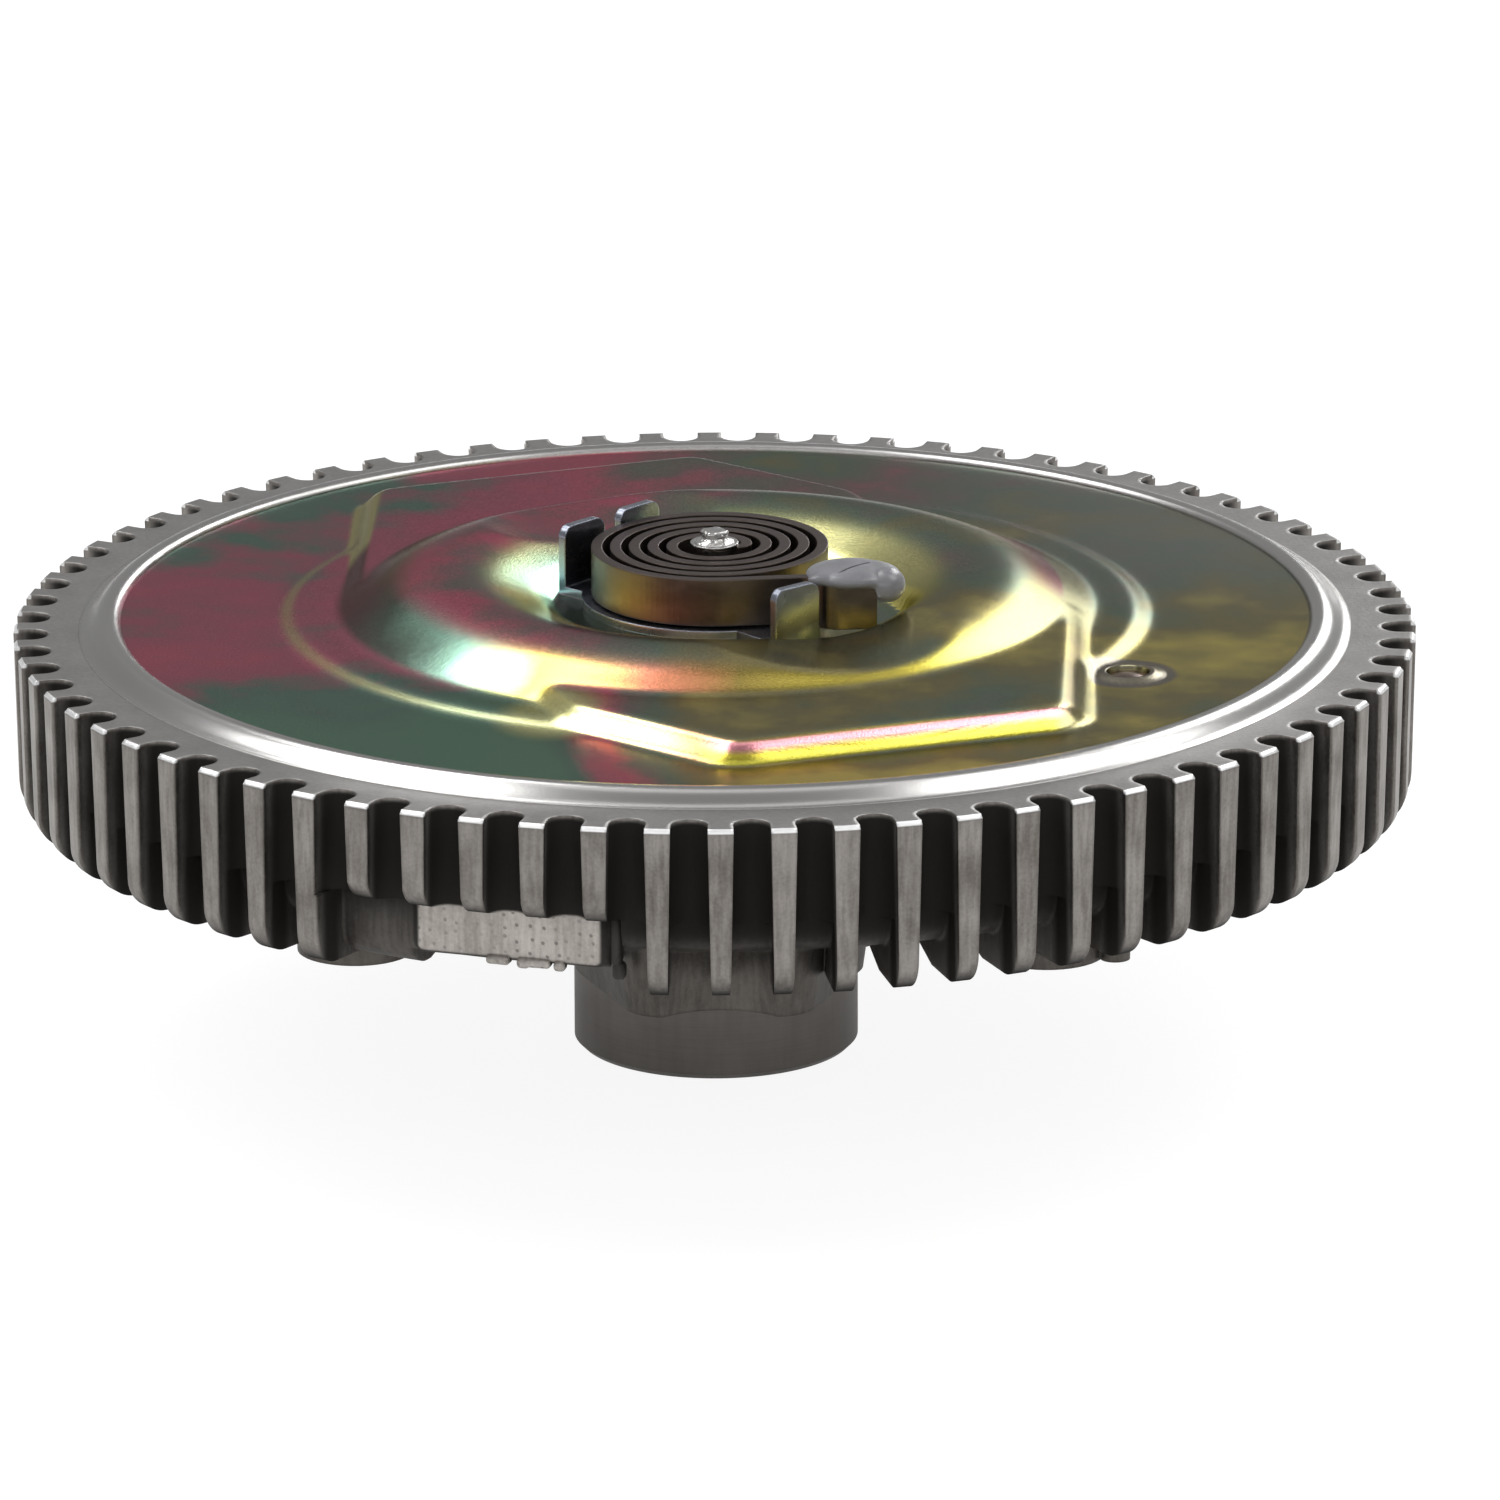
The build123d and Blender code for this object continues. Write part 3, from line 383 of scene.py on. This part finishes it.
apply(sheet, "SMOOTH", factor=0.5, iterations=9, use_x=False, use_y=False, use_z=True, vertex_group="soft")
sheet.vertex_groups.clear()
apply(sheet, "SOLIDIFY", thickness=sheet_thickness, offset=-1.0)
drill = add_piece(
    "drill", bpy.ops.mesh.primitive_cylinder_add, vertices=64, radius=fill_hole, depth=8 * mm,
    location=(fill_x, fill_y, flat_top - 0.3 * mm),
)
choose(sheet)
apply(sheet, "BOOLEAN", object=drill, operation="DIFFERENCE", solver="EXACT")
bpy.data.objects.remove(drill)
bpy.ops.object.shade_smooth_by_angle(angle=math.radians(40))
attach(sheet, "case")
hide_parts("cover")


def turned(name, profile, steps, x=0.0, y=0.0):
    """Turn a profile of radii and heights in millimetres about an upright line, starting from one vertex."""
    profile = [(radius * mm, height * mm) for radius, height in profile]
    piece = add_piece(name, bpy.ops.mesh.primitive_plane_add, size=1.0)
    bpy.ops.object.mode_set(mode="EDIT")
    pick(piece, lambda co: co.x > 0 or co.y > 0)
    bpy.ops.mesh.delete(type="VERT")
    bpy.ops.mesh.select_all(action="SELECT")
    plane_corner = Vector((-0.5, -0.5, 0))
    radius, height = profile[0]
    bpy.ops.transform.translate(value=Vector((x + radius, y, height)) - plane_corner)
    for next_radius, next_height in profile[1:]:
        move = (next_radius - radius, 0, next_height - height)
        bpy.ops.mesh.extrude_region_move(TRANSFORM_OT_translate={"value": move})
        radius, height = next_radius, next_height
    bpy.ops.mesh.select_all(action="SELECT")
    bpy.ops.mesh.spin(steps=steps, angle=turn, center=(x, y, 0), axis=(0, 0, 1))
    bpy.ops.mesh.select_all(action="SELECT")
    bpy.ops.mesh.remove_doubles(threshold=0.001 * mm)
    bpy.ops.mesh.normals_make_consistent(inside=False)
    bpy.ops.object.mode_set(mode="OBJECT")
    bpy.ops.object.shade_smooth_by_angle(angle=math.radians(35))
    return piece


# Lip of the casting, as the roller leaves it: a smooth crown with a straight outer flank.
# It is one metal with the housing, whose top it grows out of. The profile is in millimetres.
lip_profile = [
    (80.8, 58.6), (80.8, 60.55), (80.95, 60.75), (81.3, 60.93), (81.8, 61.03), (82.3, 61.06), (82.8, 61.0),
    (83.25, 60.82), (83.7, 60.52), (84.2, 60.12), (84.7, 59.7), (85.1, 59.38), (85.45, 59.17), (85.8, 59.06),
    (86.2, 59.02), (86.2, 58.6), (80.8, 58.6),
]
rolled_lip = turned("rolled_lip", lip_profile, 540)
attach(rolled_lip, "case")


def lay(name, primitive, place, halves, bevel=0.0, spin=0.0, **shape):
    """Add a primitive that reaches 1 each way, then size, bevel, turn and move it, in millimetres."""
    piece = add_piece(name, primitive, **shape)
    bpy.ops.object.mode_set(mode="EDIT")
    bpy.ops.mesh.select_all(action="SELECT")
    bpy.ops.transform.resize(value=[half * mm for half in halves], center_override=(0, 0, 0))
    if bevel:
        bpy.ops.mesh.bevel(offset=bevel * mm, segments=4, affect="EDGES")
    if spin:
        bpy.ops.transform.rotate(value=spin, orient_axis="Z", center_override=(0, 0, 0))
    bpy.ops.transform.translate(value=[along * mm for along in place])
    bpy.ops.object.mode_set(mode="OBJECT")
    return piece


def join(pieces):
    """Join pieces into the first of them."""
    choose(pieces[0])
    for piece in pieces:
        piece.select_set(True)
    bpy.ops.object.join()
    return pieces[0]


# Marks that the mould left by the pad: a short rib, a lump and beads of flash under the edge.
# They are cast on. Each row holds the place of one and its half sizes, in millimetres.
mould_marks = [
    ((-13.5, -86.9, 42.4), (0.75, 1.3, 4.0)),
    ((-13.2, -87.2, 37.6), (0.9, 1.1, 1.2)),
    ((-28.9, -83.6, 38.1), (1.6, 1.0, 0.6)),
    ((-25.6, -84.7, 38.0), (0.9, 1.0, 0.75)),
    ((-23.7, -85.3, 38.1), (1.7, 1.0, 0.6)),
    ((-20.9, -86.1, 37.95), (0.8, 1.0, 0.7)),
]
marks = []
for place, halves in mould_marks:
    mark = lay(
        "mould_mark", bpy.ops.mesh.primitive_cube_add, place, halves, size=2.0,
        bevel=min(halves[0], halves[2]) * 0.8, spin=-math.atan2(place[1], place[0]) - math.pi / 2,
    )
    bpy.ops.object.shade_smooth()
    marks.append(mark)
mould_mark = join(marks)
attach(mould_mark, "case")
cast.dress("housing", rolled_lip, mould_mark)

# Collar of the filling hole, drawn up out of the sheet round its rim and plated with it.
# The profile is in millimetres.
collar_profile = [
    (2.84, 59.1), (2.84, 60.55), (2.95, 60.72), (3.2, 60.8), (3.6, 60.76), (4.2, 60.54), (4.9, 60.36),
    (5.6, 60.25), (5.6, 59.1), (2.84, 59.1),
]
collar = turned("fill_collar", collar_profile, 72, fill_x, fill_y)
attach(collar, "case")

# Film of the plating. Its colour goes with its thickness, and that drifts over the sheet.
# On the flats it is gold at the front right, then olive and rose, and teal at the front left.
plated = Finish("passivated_zinc", {"Metallic": 1.0, "Specular Tint": (0.45, 0.45, 0.45, 1.0)})
film_drift = plated.noise(26 * mm, 2.0)
film_fine = plated.noise(6 * mm, 4.0)
film_speck = plated.noise(0.3 * mm, 2.0)
from_axis = plated.distance(0, 0)
toward_left = plated.step(plated.x, 15 * mm, -70 * mm)
toward_right = plated.step(plated.x, 10 * mm, 75 * mm)
toward_front = plated.step(plated.y, -15 * mm, -70 * mm)
toward_back = plated.step(plated.y, -15 * mm, 45 * mm)
left_half = plated.step(plated.x, 0, -24 * mm)
front_rim = plated.step(plated.y, -66 * mm, -80 * mm) * plated.step(plated.x, -8 * mm, 12 * mm)
film = toward_left * 0.42 + left_half * toward_front * 0.6 + toward_back * 0.18
film = film - toward_right * toward_back * 0.12 - front_rim * 0.25
film = film + film_drift * 0.7 + film_fine * 0.2 + film_speck * 0.06 - 0.3
flat_film = plated.ramp(film, [
    (0.0, (0.92, 0.78, 0.28)),
    (0.16, (0.44, 0.39, 0.22)),
    (0.28, (0.3, 0.37, 0.29)),
    (0.4, (0.4, 0.32, 0.3)),
    (0.52, (0.84, 0.25, 0.33)),
    (0.66, (0.68, 0.26, 0.33)),
    (0.78, (0.26, 0.38, 0.32)),
    (0.92, (0.28, 0.45, 0.34)),
])
flat_film = plated.mix(flat_film, (0.55, 0.57, 0.55, 1), toward_right * toward_back * 0.6)

# On the slopes the film shows other hues and is painted brighter in places, a painted highlight. Across the
# front it goes from wine red at the left over mint, yellow, orange and olive to yellow. The wall of the
# plateau is pink above and yellow below.
sloping = plated.step(1 - plated.normal(2), 0.006, 0.09)
along = plated.x + film_drift * 16 * mm + film_fine * 4 * mm
front_hue_and_highlight = plated.ramp(plated.step(along, -60 * mm, 60 * mm), [
    (0.06, (0.26, 0.1, 0.13)),
    (0.14, (0.2, 0.24, 0.2)),
    (0.22, (0.5, 0.85, 0.66)),
    (0.32, (0.82, 0.7, 0.1)),
    (0.5, (0.92, 0.33, 0.2)),
    (0.64, (0.42, 0.32, 0.09)),
    (0.9, (0.92, 0.78, 0.13)),
    (1.0, (0.34, 0.38, 0.2)),
])
on_wall = plated.step(from_axis, 50 * mm, 54 * mm) * plated.step(plated.z, 63.0 * mm, 62.6 * mm)
wall_hue_and_highlight = plated.ramp(plated.step(plated.z + film_fine * 0.5 * mm, 60.4 * mm, 63.2 * mm), [
    (0.1, (0.5, 0.46, 0.07)),
    (0.45, (0.88, 0.74, 0.1)),
    (0.8, (0.85, 0.36, 0.4)),
])
front_hue_and_highlight = plated.mix(front_hue_and_highlight, wall_hue_and_highlight, on_wall * plated.step(plated.x, -4 * mm, 2 * mm))

# At the back it goes from mint beside the coil, or pale yellow at the right, to wine red at the outer step.
# The outer step at the left and the end of the plateau there carry a pale yellow painted highlight.
film_reach = 50 * mm
back_hue_and_highlight = plated.ramp(from_axis * (1 / film_reach) + film_drift * 0.3 - 0.1, [
    (0.5, (0.5, 0.85, 0.7)),
    (0.68, (0.68, 0.68, 0.14)),
    (0.82, (0.36, 0.34, 0.12)),
    (1.0, (0.3, 0.16, 0.16)),
])
at_back_right = plated.step(plated.x, 0, 12 * mm) * plated.step(from_axis, 36 * mm, 28 * mm)
back_hue_and_highlight = plated.mix(back_hue_and_highlight, (0.92, 0.86, 0.36, 1), at_back_right)
slope_hue_and_highlight = plated.mix(front_hue_and_highlight, back_hue_and_highlight, plated.step(plated.y, -12 * mm, 4 * mm))
# A pale yellow painted highlight along the outer step at the left.
step_painted_highlight = plated.step(from_axis, 52 * mm, 55 * mm) * plated.step(plated.x, -2 * mm, -10 * mm)
slope_hue_and_highlight = plated.mix(slope_hue_and_highlight, (0.88, 0.84, 0.4, 1), step_painted_highlight * 0.8)
# A pale yellow painted highlight on the left end of the plateau.
plateau_end_painted_highlight = plated.step(plated.distance(-22 * mm, -51 * mm), 9 * mm, 4 * mm)

# By the filling hole it is dull. On the slopes at the right end of the plateau it is painted dark olive, a
# painted shade.
by_fill = plated.step(plated.distance(fill_x, fill_y), 7 * mm, 6 * mm)
plateau_right_painted_shade = plated.step(plated.x, 44 * mm, 47 * mm) * plated.step(plated.z, 63.6 * mm, 63.2 * mm)
# The slopes take their own hues, painted brighter in places, a painted highlight.
slope_painted_highlight = sloping * (1 - by_fill) * (1 - plateau_right_painted_shade * 0.8)
film_colour = plated.mix(flat_film, slope_hue_and_highlight, slope_painted_highlight)
film_colour = plated.mix(film_colour, (0.34, 0.32, 0.33, 1), by_fill * 0.8)
# The slopes at the right end of the plateau are painted dark olive, a painted shade.
film_colour = plated.mix(film_colour, (0.32, 0.3, 0.17, 1), plateau_right_painted_shade * sloping * 0.7)
film_colour = plated.mix(film_colour, (0.85, 0.84, 0.42, 1), plateau_end_painted_highlight * 0.8)
speckled = plated.node("ShaderNodeMix", {"data_type": "RGBA", "blend_type": "MULTIPLY"}, {
    0: 1.0, 6: film_colour, 7: plated.mix(grey(0.72), grey(1.28), film_speck),
}, 2)
plated.feed("Base Color", speckled)
plated.feed("Roughness", 0.17 + film_speck * 0.12)
plated.bump(film_speck, 0.012 * mm)
plated.dress(sheet, collar, "cover")

# Bimetal coil. Wound strip, brown and oxidised, its cut edges darker than its faces.
# Its inner end is held in the slot of the pin and turns with it, so that end is a piece of its own.
slot_reach = 3.055 * mm
strip_middle = 67 * mm


def cut_strip(name, operation):
    """Copy the wound strip and keep the part inside or outside the slot of the pin."""
    piece = cad_copy("bimetal_coil", name)
    core = add_piece(
        "core", bpy.ops.mesh.primitive_cylinder_add, vertices=128, radius=slot_reach, depth=20 * mm,
        location=(0, 0, strip_middle),
    )
    choose(piece)
    bpy.ops.object.mode_set(mode="EDIT")
    bpy.ops.mesh.select_all(action="SELECT")
    bpy.ops.mesh.remove_doubles(threshold=0.001 * mm)
    bpy.ops.object.mode_set(mode="OBJECT")
    apply(piece, "BOOLEAN", object=core, operation=operation, solver="EXACT")
    bpy.data.objects.remove(core)
    bpy.ops.object.shade_smooth_by_angle(angle=math.radians(35))
    return piece


strip = cut_strip("coil_strip", "DIFFERENCE")
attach(strip, "case")
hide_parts("bimetal_coil")
strip_end = cut_strip("coil_strip_end", "INTERSECT")
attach(strip_end, "valve")
bimetal = Finish("bimetal", {"Metallic": 1.0})
strip_cloud = bimetal.noise(3 * mm, 3.0, (1, 1, 2))
strip_top = bimetal.step(bimetal.normal(2), 0.5, 0.9)
strip_face = bimetal.mix((0.072, 0.06, 0.053, 1), (0.145, 0.119, 0.1, 1), strip_cloud)
bimetal.feed("Base Color", bimetal.mix(strip_face, (0.085, 0.062, 0.055, 1), strip_top))
bimetal.feed("Roughness", 0.3 + strip_cloud * 0.15)
bimetal.bump(strip_cloud, 0.02 * mm, edge=0.25 * mm)
bimetal.dress(strip, strip_end, "bimetal_coil")

# Bracket. Folded from one sheet and plated with clear zinc, which looks faintly blue.
# Its base lies on the cover, and the bent outer end of the coil stands beside its post.
zinc = Finish("bracket_zinc", {"Metallic": 1.0})
zinc_cloud = zinc.noise(4 * mm)
zinc.feed("Base Color", zinc.mix((0.22, 0.24, 0.29, 1), (0.38, 0.4, 0.47, 1), zinc_cloud))
zinc.feed("Roughness", 0.2 + zinc_cloud * 0.14)
zinc.bump(zinc_cloud, 0.02 * mm, edge=0.3 * mm)
zinc.dress("coil_bracket")

# Silicone. A blob that locks the hook of the coil, put on soft: crowned, and sagging behind the hook's end.
# It is half clear, and carries the slit that the nozzle left.
# Each row is one lump of it: its place and its half sizes, in millimetres.
lumps = [
    ((18.1, -13.7, 69.7), (6.0, 5.6, 1.6)),
    ((22.9, -15.4, 68.7), (2.7, 3.3, 2.4)),
    ((14.2, -17.2, 69.9), (1.9, 1.2, 0.8)),
    ((20.2, -13.6, 69.5), (4.8, 5.0, 1.6)),
]
ball = bpy.ops.mesh.primitive_uv_sphere_add
blob = join([
    lay("silicone_blob", ball, place, halves, segments=48, ring_count=24, radius=1.0)
    for place, halves in lumps
])
apply(blob, "REMESH", mode="VOXEL", voxel_size=0.22 * mm)
apply(blob, "SMOOTH", factor=0.5, iterations=10)
slit = lay(
    "slit", bpy.ops.mesh.primitive_cube_add, (18.5, -15.4, 71.45), (3.2, 0.16, 0.6), size=2.0,
    spin=math.radians(-44),
)
choose(blob)
apply(blob, "BOOLEAN", object=slit, operation="DIFFERENCE", solver="EXACT")
bpy.data.objects.remove(slit)
bpy.ops.object.shade_smooth_by_angle(angle=math.radians(50))
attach(blob, "case")
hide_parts("coil_silicone")
silicone = Finish("silicone", {
    "Roughness": 0.3, "Subsurface Weight": 0.5, "Subsurface Radius": (0.002, 0.002, 0.002),
    "Transmission Weight": 0.3,
})
milk = silicone.noise(2.5 * mm)
silicone.feed("Base Color", silicone.mix((0.15, 0.15, 0.165, 1), (0.3, 0.3, 0.32, 1), milk))
silicone.bump(milk, 0.08 * mm)
silicone.dress(blob, "coil_silicone")

# Pin of the valve. Bright turned steel, its end peened over the washer into a flared head.
# The washer has the same bright finish, the plug of the filling hole is stained.
# The profile is in millimetres.
pin_profile = [
    (0.0, 72.05), (1.3, 72.05), (1.75, 71.95), (1.95, 71.7), (1.9, 71.4), (1.7, 71.05), (1.95, 70.75),
    (2.4, 70.55), (2.7, 70.45), (2.7, 70.36), (0.0, 70.36),
]
punch_marks = 4
punch_circle = 2 * mm
punch_radius = 0.9 * mm
peened = turned("peened_head", pin_profile, 48)
bpy.ops.object.mode_set(mode="EDIT")
for mark in range(punch_marks):
    around = turn * (mark + 0.3) / punch_marks
    dent = Vector((punch_circle * math.cos(around), punch_circle * math.sin(around)))
    pick(peened, lambda co: (co.xy - dent).length < punch_radius and co.z > 71 * mm)
    bpy.ops.transform.resize(value=(0.82, 0.82, 1), center_override=(0, 0, 0))
bpy.ops.object.mode_set(mode="OBJECT")
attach(peened, "valve")
bright = Finish("bright_steel", {"Metallic": 1.0})
bright_line = bright.noise(0.2 * mm, 2.0, (0.1, 0.1, 1))
bright_dent = bright.noise(0.8 * mm, 2.0)
bright.feed("Base Color", bright.mix(grey(0.5, 0.02), grey(0.85, 0.02), bright_line))
bright.feed("Roughness", 0.12 + bright_line * 0.12)
bright.bump(bright_line * 0.08 + bright_dent, 0.12 * mm, edge=0.2 * mm)
bright.dress(peened, "valve_spindle", "coil_washer")
plug = Finish("plug_steel", {"Metallic": 1.0})
plug_stain = plug.noise(1.5 * mm)
plug.feed("Base Color", plug.mix((0.1, 0.07, 0.055, 1), (0.24, 0.17, 0.14, 1), plug_stain))
plug.feed("Roughness", 0.25 + plug_stain * 0.2)
plug.bump(plug_stain, 0.03 * mm)
plug.dress("fill_plug")

# Floor. A wide pale sheet, clear from below so that the underside of the clutch can be seen.
# It looks lighter to the camera than the lamps make it, so that the shadow stays soft.
floor = add_piece("floor", bpy.ops.mesh.primitive_plane_add, size=8, location=(0, 0, -0.3 * mm))
pale = Finish("floor_paper", {"Base Color": (0.9, 0.9, 0.9, 1), "Roughness": 0.9})
seen = pale.node("ShaderNodeLightPath", {}, {}, "Is Camera Ray")
glow = pale.node("ShaderNodeEmission", {}, {0: (1, 1, 1, 1), 1: 1.1})
pale.cover(glow, 0.25 + seen * 0.57)
pale.cover(
    pale.node("ShaderNodeBsdfTransparent", {}, {}),
    pale.node("ShaderNodeNewGeometry", {}, {}, "Backfacing"),
)
pale.dress(floor)

# Camera. It looks down at 16.5 degrees through a long lens.
# The axis of the clutch stands left of the middle of the frame, and its rim above it.
view_elevation = math.radians(16.5)
view_azimuth = math.radians(-90.4)
view_roll = math.radians(-0.22)
view_distance = 2.0242
photo_width = 1500
axis_column = 714.7
rim_row = 622
aim = Vector((0, 0, 59 * mm))
back = Vector((
    math.cos(view_elevation) * math.cos(view_azimuth),
    math.cos(view_elevation) * math.sin(view_azimuth),
    math.sin(view_elevation),
))
lens = bpy.data.cameras.new("camera")
lens.sensor_width = 36
lens.lens = 358.46
lens.shift_x = (photo_width / 2 - axis_column) / photo_width
lens.shift_y = (rim_row - photo_width / 2) / photo_width
lens.clip_start = 0.1
lens.clip_end = 20
camera = bpy.data.objects.new("camera", lens)
bpy.context.scene.collection.objects.link(camera)
camera.rotation_mode = "QUATERNION"
camera.rotation_quaternion = (-back).to_track_quat("-Z", "Y") @ Quaternion((0, 0, 1), view_roll)
camera.location = aim + back * view_distance
bpy.context.scene.camera = camera

# Light. Two softboxes stand behind the clutch, a small one high at the left and a tall, leaning one at the
# right. Two more stand at its sides, a weak one hangs above, and a wide one stands in front.
# Each row: degrees to the right of the back, degrees up, lean, width and height in metres, and watts.
lamps = [
    (-30, 55, 0, 0.4, 0.46, 3.7),
    (26, 29, 30, 0.4, 1.15, 8.0),
    (0, 78, 0, 0.8, 0.6, 0.9),
    (-78, 55, 0, 0.9, 0.9, 9.0),
    (78, 55, 0, 0.9, 0.9, 8.5),
    (180, 34, 0, 2.4, 0.6, 8.0),
]
lamp_distance = 1.6
for lamp_side, lamp_rise, lamp_lean, width, height, power in lamps:
    around = math.radians(90 - lamp_side)
    rise = math.radians(lamp_rise)
    reach = Vector((math.cos(rise) * math.cos(around), math.cos(rise) * math.sin(around), math.sin(rise)))
    box = bpy.data.lights.new("softbox", "AREA")
    box.shape = "RECTANGLE"
    box.size = width
    box.size_y = height
    box.energy = power
    lamp = bpy.data.objects.new("softbox", box)
    bpy.context.scene.collection.objects.link(lamp)
    lamp.location = aim + reach * lamp_distance
    lean = Quaternion((0, 0, 1), math.radians(lamp_lean))
    lamp.rotation_mode = "QUATERNION"
    lamp.rotation_quaternion = (-reach).to_track_quat("-Z", "Y") @ lean

# Room. It fills in from all round. It is white to the camera and through the silicone,
# weaker as light, and weakest in what the metal mirrors.
room_light = 0.55
room_in_metal = 0.3
room = bpy.data.worlds.new("room")
bpy.context.scene.world = room
room.use_nodes = True
backdrop = room.node_tree.nodes["Background"]
rays = room.node_tree.nodes.new("ShaderNodeLightPath")
clear = room.node_tree.nodes.new("ShaderNodeMath")
clear.operation = "MAXIMUM"
room.node_tree.links.new(rays.outputs["Is Camera Ray"], clear.inputs[0])
room.node_tree.links.new(rays.outputs["Is Transmission Ray"], clear.inputs[1])
mirrored = room.node_tree.nodes.new("ShaderNodeMapRange")
mirrored.inputs["To Min"].default_value = room_light
mirrored.inputs["To Max"].default_value = room_in_metal
room.node_tree.links.new(rays.outputs["Is Glossy Ray"], mirrored.inputs["Value"])
white = room.node_tree.nodes.new("ShaderNodeMapRange")
room.node_tree.links.new(mirrored.outputs[0], white.inputs["To Min"])
room.node_tree.links.new(clear.outputs[0], white.inputs["Value"])
backdrop.inputs[0].default_value = (1, 1, 1, 1)
room.node_tree.links.new(white.outputs[0], backdrop.inputs[1])

bpy.context.scene.view_settings.view_transform = "Standard"
